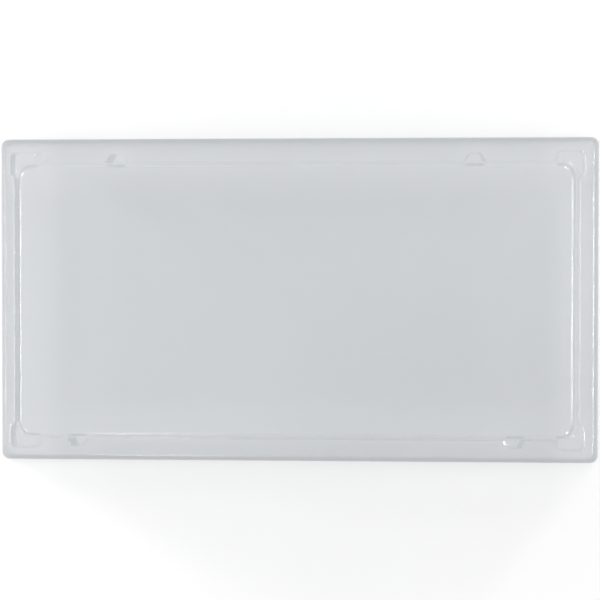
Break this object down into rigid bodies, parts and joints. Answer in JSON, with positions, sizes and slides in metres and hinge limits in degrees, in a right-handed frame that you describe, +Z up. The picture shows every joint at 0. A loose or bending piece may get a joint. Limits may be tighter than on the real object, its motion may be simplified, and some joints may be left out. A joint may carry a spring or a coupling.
{
  "type": "takeout food container lid",
  "caption": "Clear thermoformed oblong lid of a takeout food container, with a clip-over rim, a raised flat panel, corner posts and side lugs.",
  "frame": {"origin": "middle of the lid's plan, on the plane of the lip's underside", "axes": "+X along the length, to the picture's right; +Y across the width, to the picture's top, where the side lugs stand nearer the middle; +Z up from the lip to the raised panel, towards the picture's camera"},
  "size_m": [0.235, 0.127, 0.022],
  "materials": {
    "clear_sheet": "clear, smooth on both faces"
  },
  "bodies": {
    "root": {"lid": "clear_sheet"}
  },
  "joints": []
}
